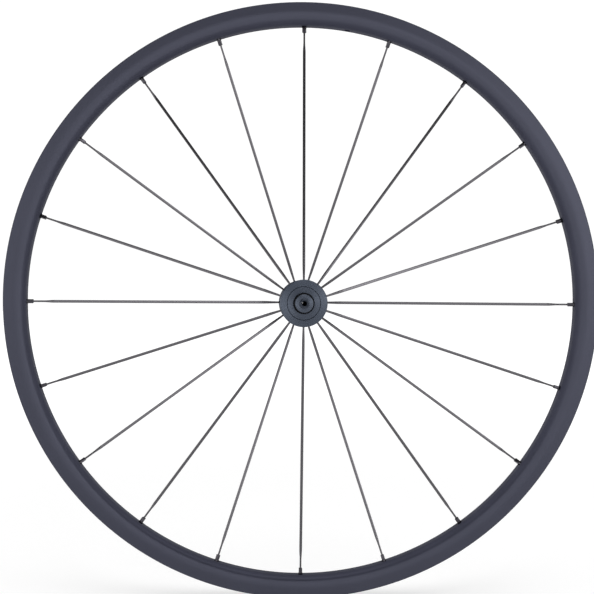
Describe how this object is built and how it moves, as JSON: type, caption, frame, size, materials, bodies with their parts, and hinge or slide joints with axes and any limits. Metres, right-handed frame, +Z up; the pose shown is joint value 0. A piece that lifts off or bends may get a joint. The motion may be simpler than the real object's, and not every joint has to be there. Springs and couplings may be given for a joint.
{
  "type": "bicycle wheel",
  "caption": "Front road bicycle wheel: hollow clincher rim with brake tracks, flat radial spokes, straight-pull hub and hollow axle for a quick-release skewer.",
  "frame": {"origin": "wheel centre, on the axle's axis and in the rim's middle plane", "axes": "+Y along the axle, from the side that the picture shows to the far side; +Z up; +X forward"},
  "size_m": [0.6339, 0.109, 0.634],
  "materials": {
    "rim_alloy": "satin black anodised aluminium",
    "spoke_steel": "black coated stainless steel",
    "nipple_alloy": "black anodised aluminium",
    "hub_alloy": "satin black anodised aluminium",
    "bearing_seal": "black seal faces on steel cartridges",
    "axle_alloy": "dark anodised aluminium",
    "cap_alloy": "satin black anodised aluminium"
  },
  "bodies": {
    "axle": {"axle": "axle_alloy", "end_caps": "cap_alloy"},
    "wheel": {"rim": "rim_alloy", "spoke_01": "spoke_steel", "spoke_02": "spoke_steel", "spoke_03": "spoke_steel", "spoke_04": "spoke_steel", "spoke_05": "spoke_steel", "spoke_06": "spoke_steel", "spoke_07": "spoke_steel", "spoke_08": "spoke_steel", "spoke_09": "spoke_steel", "spoke_10": "spoke_steel", "spoke_11": "spoke_steel", "spoke_12": "spoke_steel", "spoke_13": "spoke_steel", "spoke_14": "spoke_steel", "spoke_15": "spoke_steel", "spoke_16": "spoke_steel", "spoke_17": "spoke_steel", "spoke_18": "spoke_steel", "spoke_19": "spoke_steel", "spoke_20": "spoke_steel", "spoke_nipples": "nipple_alloy", "hub_shell": "hub_alloy", "bearings": "bearing_seal"}
  },
  "joints": [
    {"name": "wheel_spin", "type": "hinge", "parent": "axle", "child": "wheel", "pos_m": [0, 0, 0], "axis": [0, 1, 0], "continuous": true}
  ]
}
